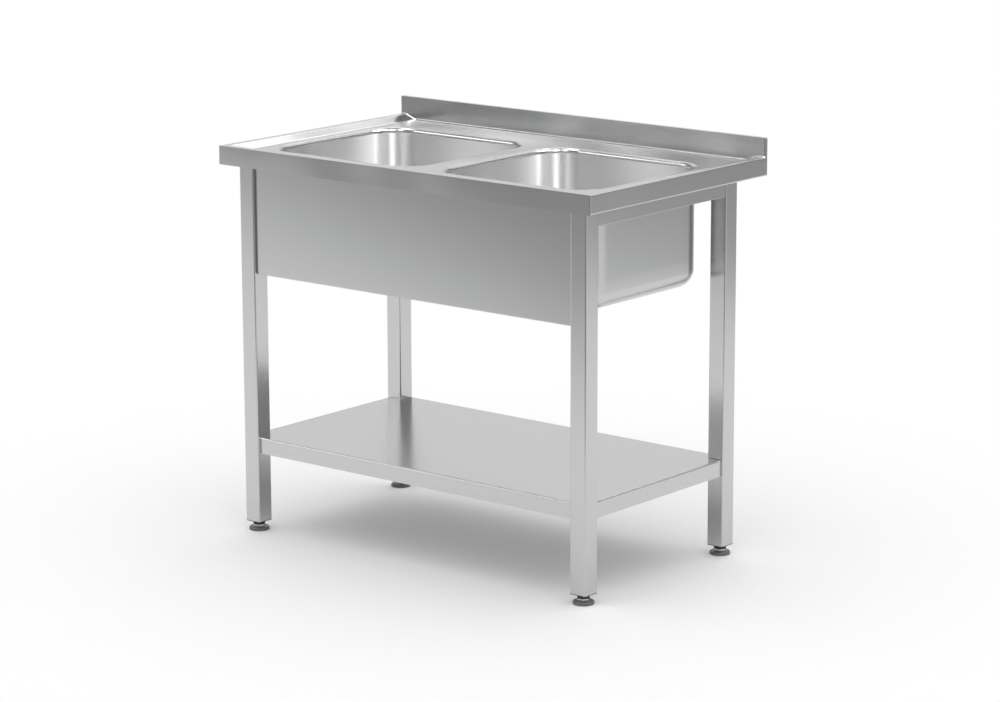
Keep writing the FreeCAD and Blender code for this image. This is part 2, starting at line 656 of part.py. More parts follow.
def make_foot_screw(x, y):
    """Screw with its hexagon, and a spigot that turns in the pad."""
    nut = hexagon(HEX_FLATS, (x, y), hex_z, HEX_HEIGHT)
    corner = HEX_FLATS / math.sqrt(3)
    trim = cylinder(corner, (x, y, hex_z), HEX_HEIGHT)
    trim = trim.makeChamfer(HEX_CHAMFER, [e for e in trim.Edges if e.Closed])
    stem = cylinder(STEM_RADIUS, (x, y, hex_z), HEX_HEIGHT + STEM_ABOVE_HEX)
    tip = hex_z + HEX_HEIGHT + STEM_ABOVE_HEX
    stem = stem.makeChamfer(HEX_CHAMFER, edges_where(stem, lambda p: near(p.z, tip)))
    spigot = cylinder(SPIGOT_RADIUS, (x, y, hex_z - SPIGOT_DEPTH), SPIGOT_DEPTH)
    return nut.common(trim).fuse([stem, spigot]).removeSplitter()


def make_foot_pad(x, y):
    """Round pad with a soft shoulder and the socket for the spigot."""
    pad = cylinder(PAD_RADIUS, (x, y, 0), PAD_HEIGHT)
    pad = pad.makeFillet(PAD_SHOULDER, edges_where(pad, lambda p: near(p.z, PAD_HEIGHT)))
    depth = SPIGOT_DEPTH - CLEARANCE + RUNNING
    socket = cylinder(SPIGOT_RADIUS + RUNNING, (x, y, PAD_HEIGHT - depth), depth + 1)
    return pad.cut(socket)


# ---------------------------------------------------------------- the whole unit
def all_pieces():
    pieces = {
        "worktop": make_worktop(),
        "front_stiffener": make_cross_stiffener(leg_front),
        "rear_stiffener": make_cross_stiffener(leg_back),
        "left_stiffener": make_side_stiffener(-side_rail_x),
        "right_stiffener": make_side_stiffener(side_rail_x),
        "divider_stiffener": make_divider_stiffener(),
        "front_rail": make_cross_rail(leg_front),
        "rear_rail": make_cross_rail(leg_back),
        "left_rail": make_side_rail(-side_rail_x),
        "right_rail": make_side_rail(side_rail_x),
        "worktop_studs": make_studs(),
        "stud_nuts": make_stud_nuts(),
        "front_apron": make_apron(),
        "apron_screws": make_apron_screws(),
        "shelf": make_shelf(),
        "shelf_rib": make_shelf_rib(),
        "shelf_bolts": make_shelf_bolts(),
        "leg_rivet_nuts": make_rivet_nuts(),
    }
    for side, x in (("left", -bowl_x), ("right", bowl_x)):
        pieces[side + "_bowl"] = make_bowl(x)
        pieces[side + "_waste_body"] = make_waste_body(x)
        pieces[side + "_waste_seal"] = make_waste_seal(x)
        pieces[side + "_lower_seal"] = make_lower_seal(x)
        pieces[side + "_backnut"] = make_backnut(x)
        pieces[side + "_plug"] = make_plug(x)
    for place, (x, y) in leg_places.items():
        pieces[place + "_leg"] = make_leg(x, y)
        pieces[place + "_insert"] = make_insert(x, y)
        pieces[place + "_foot_screw"] = make_foot_screw(x, y)
        pieces[place + "_foot_pad"] = make_foot_pad(x, y)
    return pieces


os.makedirs("parts", exist_ok=True)
for name, shape in all_pieces().items():
    shape.exportStep(f"parts/{name}.step")
    print(name, len(shape.Solids), round(shape.Volume), shape.isValid())
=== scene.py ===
"""Kitchen sink unit: the steel, plastic and rubber finishes, the studio and the camera."""

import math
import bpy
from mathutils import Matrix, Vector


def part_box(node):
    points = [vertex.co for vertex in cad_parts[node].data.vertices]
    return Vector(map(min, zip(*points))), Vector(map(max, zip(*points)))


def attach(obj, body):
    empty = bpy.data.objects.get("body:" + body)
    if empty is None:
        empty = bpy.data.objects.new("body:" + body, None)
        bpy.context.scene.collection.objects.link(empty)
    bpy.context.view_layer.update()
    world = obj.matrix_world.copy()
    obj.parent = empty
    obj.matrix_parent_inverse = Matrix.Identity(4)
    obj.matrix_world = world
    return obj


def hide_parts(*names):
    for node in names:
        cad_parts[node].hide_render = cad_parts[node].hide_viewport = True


bl_info = {
    "name": "Kitchen sink unit",
    "version": (1, 0, 0),
    "blender": (4, 5, 0),
    "location": "3D view > Sidebar > Sink unit",
    "description": "Dresses a stainless steel sink unit and sets up its studio",
    "category": "Object",
}

import bpy
import numpy as np
from bpy.props import FloatProperty, FloatVectorProperty, IntProperty, PointerProperty
from mathutils import Matrix, Vector

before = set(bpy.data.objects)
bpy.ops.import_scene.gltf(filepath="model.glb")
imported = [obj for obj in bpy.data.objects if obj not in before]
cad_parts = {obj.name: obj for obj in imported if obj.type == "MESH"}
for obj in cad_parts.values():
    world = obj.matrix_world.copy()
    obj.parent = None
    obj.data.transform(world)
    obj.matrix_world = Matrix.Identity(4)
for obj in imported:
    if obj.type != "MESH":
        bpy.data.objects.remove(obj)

MM = 0.001
BODY = "unit"
LEG_PLACES = ("front_left", "front_right", "rear_left", "rear_right")
SIDES = ("left", "right")

# Steps of the grids on which the surfaces are worked out.
BEND_POINTS = 13  # on a quarter turn of a bowl's foot and of its seat's bends
WALL_RINGS = 8  # down a bowl's upright wall
FLOOR_SHARES = 12  # from the foot of a bowl's walls to its seat
ROUND_POINTS = 48  # round a turned piece and round a thread
THREAD_RINGS = 12  # on each turn of a thread

# A thread's profile in shares of its pitch.
THREAD_DEPTH = 0.54
HALF_CREST = 0.0625
FLANK = 0.3125

# The steel's grain and shape.
DRAWN_OUT = 0.02  # squeeze of the noise along the brushing, which draws it out to lines
BOWL_LINES = 900.0  # lines per metre on the drawn bowls
RELIEF = 0.2 * MM  # depth of the finest relief
UPSTAND_SPACE = 30 * MM  # what the upstand and its cove take, from the unit's rear face forwards
UPSTAND_RISE = 50 * MM  # from the wet field to the upstand's top

# How the floor darkens away from the unit in the steel: metres to the start and to the end of the fade,
# and the brightness that is left. The front fade runs along the direction FRONT_WAY in plan.
FRONT_WAY = (0.41, -0.91)
FRONT_FADE = (1.24, 2.20, 0.32)
BACK_FADE = (2.05, 3.05, 0.42)

# Elevations in degrees between which the room's walls pass into its ceiling.
CEILING_EDGE = (55.0, 75.0)

# The lit walls and soft boxes that the steel mirrors: heading, height, half width and half height in
# degrees, and the brightness that each adds to the room. A heading of 0 lies along +Y, and 90 along -X.
SOFT_BOXES = {
    "wall behind on the left": (39.4, 12.0, 42.0, 22.0, 0.50),
    "upper wall behind on the left": (39.4, 42.0, 42.0, 13.0, 0.22),
    "box high behind on the left": (37.0, 37.5, 8.5, 7.5, 3.2),
    "box in front on the left": (131.0, 25.0, 11.0, 12.0, 2.3),
    "box high in front on the left": (112.0, 67.0, 24.0, 9.0, 11.0),
    "high wall on the right": (-93.0, 46.0, 52.0, 18.0, 0.9),
    "tall box behind on the right": (-56.0, 49.0, 14.0, 17.0, 14.0),
    "strip on the right": (-99.0, 46.0, 6.0, 18.0, 3.0),
    "tall box beside the camera": (-127.0, 46.0, 6.0, 18.0, 13.0),
    "strip in front": (-166.0, 46.0, 8.0, 18.0, 4.5),
    "high wall behind": (-24.0, 46.0, 18.0, 18.0, 0.5),
    "box high behind": (0.0, 42.0, 14.0, 10.0, 0.6),
}

SENSOR_WIDTH = 36.0  # millimetres


# ---------------------------------------------------------------- properties
def length(name, description, default):
    """A property that holds a real length in metres."""
    return FloatProperty(name=name, description=description, default=default, min=0.0, unit="LENGTH",
                         precision=5)


def fraction(name, description, default, least=0.0):
    """A property between 0, or the least that makes sense, and 1."""
    return FloatProperty(name=name, description=description, default=default, min=least, max=1.0)


def tilt(name, description, degrees):
    """A property that holds an angle, whose default is given here in degrees."""
    return FloatProperty(name=name, description=description, default=math.radians(degrees),
                         unit="ROTATION")


def light_level(name, description, default):
    """A property that holds a brightness, where 1 is white."""
    return FloatProperty(name=name, description=description, default=default, min=0.0)


def colour(name, description, default):
    """A colour property with the settings that every colour here shares."""
    return FloatVectorProperty(name=name, description=description, default=default, size=3,
                               min=0.0, max=1.0, subtype="COLOR")


def steps(name, description, default, least):
    """A property that holds a number of steps."""
    return IntProperty(name=name, description=description, default=default, min=least)


class SINK_PG_finish(bpy.types.PropertyGroup):
    """Colours and surface values of the metals and plastics."""

    steel: colour("Steel", "Colour of the satin stainless sheet", (0.575, 0.578, 0.582))
    # Lighter than the sheet's steel, so that light bouncing between the bowls' walls comes out brighter:
    # painted light on top of the drawn steel's own colour.
    bowl: colour("Bowl steel with painted light", "Colour of the drawn bowls", (0.70, 0.70, 0.70))
    zinc: colour("Bright screws", "Colour of the foot screws and fasteners", (0.56, 0.56, 0.57))
    black: colour("Black plastic", "Colour of the leg plugs, backnuts and stoppers",
                  (0.022, 0.022, 0.024))
    pad: colour("Foot plastic", "Colour of the round foot pads", (0.135, 0.136, 0.140))
    rubber: colour("Rubber", "Colour of the waste's washers", (0.018, 0.018, 0.018))
    steel_roughness: fraction("Steel roughness", "Roughness of the satin sheet", 0.20, least=0.02)
    bowl_roughness: fraction("Bowl roughness", "Roughness of the bowls", 0.42, least=0.02)
    bowl_fan: fraction("Bowl fan", "How far the bowls' level brushing spreads light upright", 0.97)
    bowl_bow: tilt("Bowl bow", "How far the drawn walls lean over towards each corner", 10.0)
    sway: length("Sheet sway", "Depth of the slow waves in the pressed sheet", 8 * MM)
    upstand_lean: tilt("Upstand lean", "How far the upstand leans back", 3.0)
    grain_depth: fraction("Grain depth", "How strongly the brushed grain shows", 0.35)


class SINK_PG_forms(bpy.types.PropertyGroup):
    """Sizes of the pieces made here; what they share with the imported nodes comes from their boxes."""

    sheet: length("Bowl sheet", "Thickness of the drawn bowls", 1.2 * MM)
    corner: length("Bowl corner", "Inside radius of the bowls' upright corners", 65 * MM)
    foot: length("Bowl foot", "Inside radius between the walls and the floor of a bowl", 35 * MM)
    seat: length("Seat radius", "Pressed seat round a bowl's drain hole", 39 * MM)
    seat_depth: length("Seat depth", "Floor of a bowl down to its seat", 5 * MM)
    seat_bend: length("Seat bend", "Inside radius at the bottom of the seat", 1.5 * MM)
    drain: length("Drain radius", "Hole in the seat", 26 * MM)
    hexagon: length("Hexagon", "Foot screw's hexagon across its flats", 22 * MM)
    hexagon_height: length("Hexagon height", "Foot screw's hexagon from its seat up", 5.2 * MM)
    hexagon_edge: length("Hexagon edge", "Width of the chamfers at the hexagon's corners", 0.8 * MM)
    stem: length("Stem radius", "Foot screw over its threads", 5 * MM)
    pitch: length("Thread pitch", "Rise of the foot screw's thread in a turn", 1.5 * MM)
    spigot: length("Spigot radius", "Foot screw's end in the pad", 4 * MM)
    spigot_depth: length("Spigot depth", "Foot screw's end below its hexagon", 4.2 * MM)
    corner_steps: steps("Corner steps", "Points on a quarter turn", 28, 4)
    side_steps: steps("Side steps", "Points on a straight side", 14, 2)


class SINK_PG_studio(bpy.types.PropertyGroup):
    """Floor, light and the room that the steel mirrors."""

    floor_size: length("Floor", "Side of the square floor", 24.0)
    floor_colour: colour("Floor colour", "Colour of the pale floor", (0.93, 0.93, 0.93))
    floor_glow: light_level("Floor glow", "Light of the floor's own that lifts its shadow", 0.08)
    side_light: fraction("Side light", "Soft light from the sides; the rest comes from above", 0.35)
    ceiling: light_level("Ceiling", "Brightness of the soft ceiling in the steel", 0.55)
    wall: light_level("Walls", "Brightness of the bare walls in the steel", 0.32)
    soft_edge: FloatProperty(name="Soft edge", default=6.0,
                             description="Width over which a soft box fades, in degrees")


class SINK_PG_camera(bpy.types.PropertyGroup):
    """The camera, placed by fitting it to the edges and corners of the unit."""

    place: FloatVectorProperty(name="Place", description="Where the camera stands", size=3,
                               default=(4.43698, -5.36272, 1.96042), subtype="TRANSLATION",
                               unit="LENGTH")
    yaw: tilt("Turn", "Turn to the left of the view along +Y", 39.4385)
    pitch: tilt("Dip", "Angle below the horizon", 12.5186)
    roll: tilt("Roll", "Tilt about the view", -0.1858)
    lens: FloatProperty(name="Lens", description="Focal length in millimetres", default=120.716)


# ---------------------------------------------------------------- shader groups
def new_group(name, inputs, outputs):
    """Empty shader group with float inputs {name: default}, and float outputs of these names.

    An input called Vector is a vector and has no default.
    """
    group = bpy.data.node_groups.new(name, "ShaderNodeTree")
    for label, value in inputs.items():
        kind = "NodeSocketVector" if label == "Vector" else "NodeSocketFloat"
        socket = group.interface.new_socket(label, in_out="INPUT", socket_type=kind)
        if kind == "NodeSocketFloat":
            socket.default_value = value
    for label in outputs:
        group.interface.new_socket(label, in_out="OUTPUT", socket_type="NodeSocketFloat")
    return group


class Wiring:
    """Adds nodes to a tree and joins them, so that a network reads from top to bottom."""

    def __init__(self, tree):
        self.tree = tree

    def node(self, kind, inputs=None, **settings):
        """New node; an input that is given a socket is linked to it, and any other is set."""
        made = self.tree.nodes.new(kind)
        for key, value in settings.items():
            setattr(made, key, value)
        for key, value in (inputs or {}).items():
            if isinstance(value, bpy.types.NodeSocket):
                self.tree.links.new(value, made.inputs[key])
            else:
                made.inputs[key].default_value = value
        return made

    def math(self, operation, first, second=0.0, clamp=False):
        """Result of a Math node."""
        return self.node("ShaderNodeMath", {0: first, 1: second}, operation=operation,
                         use_clamp=clamp).outputs[0]

    def remap(self, value, from_min, from_max, to_min, to_max, smooth=False):
        """The value carried from one range to another, straight or along a smooth step."""
        ranges = {0: value, 1: from_min, 2: from_max, 3: to_min, 4: to_max}
        kind = "SMOOTHSTEP" if smooth else "LINEAR"
        return self.node("ShaderNodeMapRange", ranges, interpolation_type=kind).outputs[0]

    def noise(self, where, scale, detail, roughness=0.5):
        """A noise of so many patches to the metre, about 1/2 on average."""
        return self.node("ShaderNodeTexNoise", {"Vector": where, "Scale": scale, "Detail": detail,
                                                "Roughness": roughness}).outputs["Fac"]


def grain_group():
    """Brushed grain: noise drawn out along one axis gives fine lines, a broad one the handling marks.

    Vector is Object coordinates scaled so that the long axis of the brushing is squeezed.
    Roughness = base + 0.2 depth (lines - 1/2) + wear (broad - 1/2), and Tone, which is 1 give or take
    a little, = 1 + 0.1 depth (lines - 1/2).
    """
    group = new_group("Brushed grain", {"Vector": None, "Lines per metre": 2200.0, "Depth": 0.3,
                                        "Roughness": 0.2, "Wear": 0.05},
                      ("Roughness", "Tone", "Height"))
    w = Wiring(group)
    given = w.node("NodeGroupInput").outputs
    lines = w.noise(given["Vector"], given["Lines per metre"], 2.0, 0.6)
    broad = w.noise(given["Vector"], 7.0, 3.0, 0.55)
    line_part = w.math("MULTIPLY", w.math("SUBTRACT", lines, 0.5), given["Depth"])
    broad_part = w.math("MULTIPLY", w.math("SUBTRACT", broad, 0.5), given["Wear"])
    rough = w.math("ADD", given["Roughness"], w.math("MULTIPLY", line_part, 0.2))
    rough = w.math("ADD", rough, broad_part, clamp=True)
    tone = w.math("ADD", 1.0, w.math("MULTIPLY", line_part, 0.10))
    w.node("NodeGroupOutput", {"Roughness": rough, "Tone": tone, "Height": lines})
    return group


def speckle_group():
    """Moulded plastic: a fine leathery noise for the height, a soft mottle for colour and gloss.

    Roughness = base + 0.2 (mottle - 1/2), and Tone = 0.9 + 0.2 mottle.
    """
    group = new_group("Moulded speckle",
                      {"Vector": None, "Grain per metre": 2500.0, "Roughness": 0.5},
                      ("Roughness", "Tone", "Height"))
    w = Wiring(group)
    given = w.node("NodeGroupInput").outputs
    fine = w.noise(given["Vector"], given["Grain per metre"], 3.0)
    mottle = w.noise(given["Vector"], 120.0, 2.0)
    uneven = w.math("MULTIPLY", w.math("SUBTRACT", mottle, 0.5), 0.2)
    rough = w.math("ADD", given["Roughness"], uneven)
    tone = w.math("ADD", 0.9, w.math("MULTIPLY", mottle, 0.2))
    w.node("NodeGroupOutput", {"Roughness": rough, "Tone": tone, "Height": fine})
    return group


def soft_box_group():
    """Share of a soft box that is seen in a direction, 1 inside and 0 outside, with a soft edge.

    Azimuth and Elevation are the direction's angles in degrees. The mask is the product of two smooth
    falls, each from the half size less half the edge to the half size and half the edge.
    """
    group = new_group("Soft box", {"Azimuth": 0.0, "Elevation": 0.0, "Heading": 0.0, "Height": 20.0,
                                   "Half width": 10.0, "Half height": 10.0, "Edge": 6.0}, ("Mask",))
    w = Wiring(group)
    given = w.node("NodeGroupInput").outputs
    turned_by = w.math("SUBTRACT", given["Azimuth"], given["Heading"])
    around = w.math("FLOORED_MODULO", w.math("ADD", turned_by, 180.0), 360.0)
    sideways = w.math("ABSOLUTE", w.math("SUBTRACT", around, 180.0))
    upright = w.math("ABSOLUTE", w.math("SUBTRACT", given["Elevation"], given["Height"]))
    half_edge = w.math("MULTIPLY", given["Edge"], 0.5)
    falls = []
    for off, half in ((sideways, given["Half width"]), (upright, given["Half height"])):
        inside, outside = w.math("SUBTRACT", half, half_edge), w.math("ADD", half, half_edge)
        falls.append(w.remap(off, inside, outside, 1.0, 0.0, smooth=True))
    w.node("NodeGroupOutput", {"Mask": w.math("MULTIPLY", *falls)})
    return group


def sheet_group():
    """Height in metres of the pressed sheet: slow waves, and an upstand that leans back a little.

    The waves are a noise of three to the metre, times the sway. Behind Start on Y and above Field, the
    height falls by the lean for each metre up.
    """
    group = new_group("Pressed sheet", {"Vector": None, "Sway": 0.01, "Lean": 0.05, "Start": 0.2,
                                        "Field": 0.8}, ("Height",))
    w = Wiring(group)
    given = w.node("NodeGroupInput").outputs
    part = w.node("ShaderNodeSeparateXYZ", {0: given["Vector"]}).outputs
    waves = w.math("MULTIPLY", w.noise(given["Vector"], 3.2, 1.0), given["Sway"])
    above = w.math("MAXIMUM", w.math("SUBTRACT", part["Z"], given["Field"]), 0.0)
    behind = w.math("GREATER_THAN", part["Y"], given["Start"])
    fall = w.math("MULTIPLY", w.math("MULTIPLY", above, behind), given["Lean"])
    w.node("NodeGroupOutput", {"Height": w.math("SUBTRACT", waves, fall)})
    return group


def bow_group():
    """Height in metres of walls that lean over towards the corners, as drawing leaves them.

    The bowls mirror each other in X, with their middles at (+-Middle X, Middle Y). With u the distance
    from a bowl's middle along X or Y, and v the lesser of u and the reach, the height is the sum over
    both of slope v (2 u - v) / (2 reach): the slope grows evenly up to the reach and then stays.
    """
    group = new_group("Bowed walls", {"Vector": None, "Middle X": 0.2, "Middle Y": 0.0,
                                      "Reach": 0.1, "Slope": 0.1}, ("Height",))
    w = Wiring(group)
    given = w.node("NodeGroupInput").outputs
    part = w.node("ShaderNodeSeparateXYZ", {0: given["Vector"]}).outputs
    rises = []
    for off in (w.math("SUBTRACT", w.math("ABSOLUTE", part["X"]), given["Middle X"]),
                w.math("SUBTRACT", part["Y"], given["Middle Y"])):
        u = w.math("ABSOLUTE", off)
        v = w.math("MINIMUM", u, given["Reach"])
        rises.append(w.math("MULTIPLY", v, w.math("SUBTRACT", w.math("MULTIPLY", u, 2.0), v)))
    share = w.math("DIVIDE", given["Slope"], w.math("MULTIPLY", given["Reach"], 2.0))
    w.node("NodeGroupOutput", {"Height": w.math("MULTIPLY", w.math("ADD", *rises), share)})
    return group


# ---------------------------------------------------------------- materials
def finish_with(group, name, base, values, metallic, squeeze=(1.0, 1.0, 1.0), bump=0.02,
                specular=0.5, fan=0.0, shape=None):
    """Material whose colour, roughness and relief come from one of the groups.

    Everything lies on Object coordinates, squeezed for the grain. The fan is the anisotropy about the
    upright. The shape is (group, values): a group that gives a height in metres under the relief.
    """
    material = bpy.data.materials.new(name)
    material.use_nodes = True
    material.node_tree.nodes.clear()
    w = Wiring(material.node_tree)
    where = w.node("ShaderNodeTexCoord").outputs["Object"]
    drawn = w.node("ShaderNodeMapping", {"Vector": where, "Scale": squeeze}).outputs["Vector"]
    effect = w.node("ShaderNodeGroup", {"Vector": drawn, **values}, node_tree=group).outputs
    tinted = w.node("ShaderNodeVectorMath", {0: tuple(base), "Scale": effect["Tone"]},
                    operation="SCALE")
    under, spread = {}, {}
    if shape:
        form, sizes = shape
        height = w.node("ShaderNodeGroup", {"Vector": where, **sizes}, node_tree=form).outputs["Height"]
        slow = w.node("ShaderNodeBump", {"Strength": 1.0, "Distance": 1.0, "Height": height})
        under["Normal"] = slow.outputs["Normal"]
    if fan:
        upright = w.node("ShaderNodeCombineXYZ", {"Z": 1.0})
        spread.update({"Tangent": upright.outputs[0], "Anisotropic": fan})
    relief = w.node("ShaderNodeBump", {"Strength": bump, "Distance": RELIEF,
                                       "Height": effect["Height"], **under})
    shader = w.node("ShaderNodeBsdfPrincipled", {
        "Base Color": tinted.outputs[0], "Roughness": effect["Roughness"], "Metallic": metallic,
        "Specular IOR Level": specular, "Normal": relief.outputs["Normal"], **spread})
    w.node("ShaderNodeOutputMaterial", {"Surface": shader.outputs[0]})
    return material


def material_named(name):
    """The finish of this name, which the finishes step has to have made."""
    found = bpy.data.materials.get(name)
    if found is None:
        raise RuntimeError(f"make the finishes first: there is no material {name}")
    return found


def dress(name, *nodes):
    """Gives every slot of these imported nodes' objects the finish of this name."""
    material = material_named(name)
    for node in nodes:
        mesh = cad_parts[node].data
        if not mesh.materials:
            mesh.materials.append(material)
        for n in range(len(mesh.materials)):
            mesh.materials[n] = material


# ---------------------------------------------------------------- surfaces
def rounded_outline(half_x, half_y, radius, forms):
    """(N, 2) points anticlockwise round a rectangle with round corners; the steps alone give N.

    A corner's points are middle + radius (cos a, sin a), with a over its quarter turn, and the straight
    side to the next corner is divided into equal shares.
    """
    quarter = (np.arange(4) * np.pi / 2)[:, None]
    angle = quarter + np.linspace(0, np.pi / 2, forms.corner_steps + 1)[None, :]
    signs = np.array(((1, 1), (-1, 1), (-1, -1), (1, -1)))
    middle = (signs * (half_x - radius, half_y - radius))[:, None, :]
    arcs = middle + radius * np.stack((np.cos(angle), np.sin(angle)), axis=-1)
    share = (np.arange(1, forms.side_steps) / forms.side_steps)[None, :, None]
    sides = arcs[:, -1:, :] * (1 - share) + np.roll(arcs, -1, axis=0)[:, :1, :] * share
    return np.concatenate((arcs, sides), axis=1).reshape(-1, 2)


def ring_surface(name, rings, materials, caps=False, crease=math.radians(35)):
    """Object from (rings, points, 3): each ring closes on itself and quads join it to the next ring.

    With caps a flat face fills the first and the last ring. Edges sharper than the crease stay sharp.
    """
    count, around, _ = rings.shape
    index = np.arange(count * around).reshape(count, around)
    beside = np.roll(index, -1, axis=1)
    quads = np.stack((index[:-1], beside[:-1], beside[1:], index[1:]), axis=-1).reshape(-1, 4)
    faces = quads.tolist()
    if caps:
        faces += [index[0, ::-1].tolist(), index[-1].tolist()]
    mesh = bpy.data.meshes.new(name)
    mesh.from_pydata(rings.reshape(-1, 3).tolist(), [], faces)
    mesh.polygons.foreach_set("use_smooth", np.ones(len(faces), dtype=bool))
    mesh.set_sharp_from_angle(angle=crease)
    for material in materials:
        mesh.materials.append(material)
    made = bpy.data.objects.new(name, mesh)
    bpy.context.scene.collection.objects.link(made)
    return made


def turned(radius, height):
    """Rings of the profile (radius, height) turned about the upright axis."""
    angle = np.arange(ROUND_POINTS) * 2 * np.pi / ROUND_POINTS
    r, z = np.asarray(radius)[:, None], np.asarray(height)[:, None]
    return np.stack((r * np.cos(angle), r * np.sin(angle), z + 0 * angle), axis=-1)


def bowl_rings(half_x, half_y, top, floor, forms):
    """(rings, points, 3) of a drawn bowl's inside, about the upright axis through its middle.

    The outline is inset by t and lies at height z: down the wall t is 0, and round the foot, for a from
    0 to 90 degrees, t = foot (1 - cos a) and z = floor + foot (1 - sin a). Over the floor the outline
    turns by equal shares into the circle where the seat's mouth starts, and the seat is the circle's
    radius and height along two quarter turns: out of the floor, then into the seat's bottom.
    """
    quarter = np.linspace(0, np.pi / 2, BEND_POINTS)
    rim = (top, top - forms.sheet / 4)
    wall = np.linspace(top - forms.sheet, floor + forms.foot, WALL_RINGS)[:-1]
    wall_z = np.concatenate((rim, wall))
    inset = np.concatenate((np.zeros(len(wall_z)), forms.foot * (1 - np.cos(quarter))))
    height = np.concatenate((wall_z, floor + forms.foot * (1 - np.sin(quarter))))
    rings = []
    for t, z in zip(inset, height):
        outline = rounded_outline(half_x - t, half_y - t, forms.corner - t, forms)
        rings.append(np.column_stack((outline, np.full(len(outline), z))))
    last = rings[-1]
    heading = np.arctan2(last[:, 1], last[:, 0])
    mouth = forms.seat_bend + forms.sheet
    seat_floor = floor - forms.seat_depth
    radius = np.concatenate((forms.seat + mouth * (1 - np.sin(quarter)),
                             forms.seat - forms.seat_bend * (1 - np.cos(quarter)),
                             np.linspace(forms.seat - forms.seat_bend, forms.drain, 4)[1:]))
    seat_z = np.concatenate((floor - mouth * (1 - np.cos(quarter)),
                             seat_floor + forms.seat_bend * (1 - np.sin(quarter)),
                             np.full(3, seat_floor)))
    way = np.stack((np.cos(heading), np.sin(heading)), axis=-1)
    circles = np.stack([np.column_stack((r * way, np.full(len(heading), z)))
                        for r, z in zip(radius, seat_z)])
    share = (np.arange(1, FLOOR_SHARES) / FLOOR_SHARES)[:, None, None]
    floor_rings = last * (1 - share) + circles[0] * share
    return np.concatenate((np.stack(rings), floor_rings, circles))


def hexagon_rings(across, low, high, edge):
    """(4, 72, 3) nut, a hexagon whose corners a 30 degree cone trims above and below.

    At angle a the flat stands at radius f = across / 2 / cos(off), with off the angle to the middle of
    the nearest flat. The end faces reach m = min(f, across / sqrt(3) - edge) less an eighth of the
    edge, and the flat begins (f - m) tan 30 inside them.
    """
    angle = np.arange(72) * np.pi / 36
    off = angle % (np.pi / 3) - np.pi / 6
    flat = across / 2 / np.cos(off)
    face = np.minimum(flat, across / math.sqrt(3) - edge) - edge / 8
    drop = (flat - face) * math.tan(math.pi / 6)
    levels = ((face, low + 0 * drop), (flat, low + drop), (flat, high - drop), (face, high + 0 * drop))
    return np.stack([np.column_stack((r * np.cos(angle), r * np.sin(angle), z)) for r, z in levels])


def thread_rings(radius, pitch, low, high):
    """Rings of a right-hand thread on a stem, which fades to nothing within a pitch of each end.

    At height z and angle a the phase is p = z / pitch - a / (2 pi), and the radius is that of the crest
    less the thread's depth times a dip that is 0 on the crest, 1 at the root and straight on the flanks
    between them.
    """
    z = np.linspace(low, high, int(round((high - low) / pitch * THREAD_RINGS)) + 1)[:, None]
    angle = (np.arange(ROUND_POINTS) * 2 * np.pi / ROUND_POINTS)[None, :]
    phase = (z / pitch - angle / (2 * np.pi)) % 1.0
    dip = np.clip((0.5 - np.abs(phase - 0.5) - HALF_CREST) / FLANK, 0.0, 1.0)
    fade = np.clip(np.minimum(z - low, high - z) / pitch, 0.0, 1.0)
    r = radius - THREAD_DEPTH * pitch * dip * fade
    return np.stack((r * np.cos(angle), r * np.sin(angle), z + 0 * angle), axis=-1)


# ---------------------------------------------------------------- operators
class SINK_OT_finishes(bpy.types.Operator):
    """Make the metals, plastics and rubber that the pieces take"""

    bl_idname = "sink.finishes"
    bl_label = "Finishes"

    def execute(self, context):
        look, forms = context.scene.sink_finish, context.scene.sink_forms
        grain, speckle = grain_group(), speckle_group()
        rough, depth = look.steel_roughness, look.grain_depth
        lengthwise, across, upright = (DRAWN_OUT, 1.0, 1.0), (1.0, DRAWN_OUT, 1.0), (1.0, 1.0, DRAWN_OUT)

        _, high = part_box("worktop")
        sheet = (sheet_group(), {"Sway": look.sway, "Lean": math.tan(look.upstand_lean),
                                 "Start": high[1] - UPSTAND_SPACE, "Field": high[2] - UPSTAND_RISE})
        for name, squeeze, shape in (("Steel brushed along X", lengthwise, None),
                                     ("Steel brushed along Y", across, None),
                                     ("Steel brushed upright", upright, None),
                                     ("Steel pressed sheet", lengthwise, sheet)):
            finish_with(grain, name, look.steel, {"Depth": depth, "Roughness": rough, "Wear": 0.05},
                        1.0, squeeze, shape=shape)

        low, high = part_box("right_bowl")
        bow = (bow_group(), {"Middle X": (low[0] + high[0]) / 2, "Middle Y": (low[1] + high[1]) / 2,
                             "Reach": (high[0] - low[0]) / 2 - forms.corner,
                             "Slope": math.tan(look.bowl_bow)})
        duller = {"Depth": depth * 0.5, "Wear": 0.06, "Lines per metre": BOWL_LINES}
        # The bowls' colour is lifted above the sheet's steel: painted light inside the bowls.
        finish_with(grain, "Steel drawn bowl with painted light", look.bowl, {**duller, "Roughness": look.bowl_roughness},
                    1.0, fan=look.bowl_fan, shape=bow)
        finish_with(grain, "Steel bowl outside", look.steel, {**duller, "Roughness": rough * 1.3}, 1.0)

        finish_with(grain, "Bright screw", look.zinc, {"Depth": 0.2, "Roughness": 0.18, "Wear": 0.1},
                    1.0)
        finish_with(speckle, "Black plastic", look.black, {"Roughness": 0.45}, 0.0, bump=0.1)
        finish_with(speckle, "Foot plastic", look.pad, {"Roughness": 0.42}, 0.0, bump=0.1)
        finish_with(speckle, "Black rubber", look.rubber, {"Roughness": 0.7}, 0.0, bump=0.15,
                    specular=0.3)
        return {"FINISHED"}


class SINK_OT_worktop(bpy.types.Operator):
    """Dress the worktop"""

    bl_idname = "sink.worktop"
    bl_label = "Worktop"

    def execute(self, context):
        dress("Steel pressed sheet", "worktop")
        return {"FINISHED"}


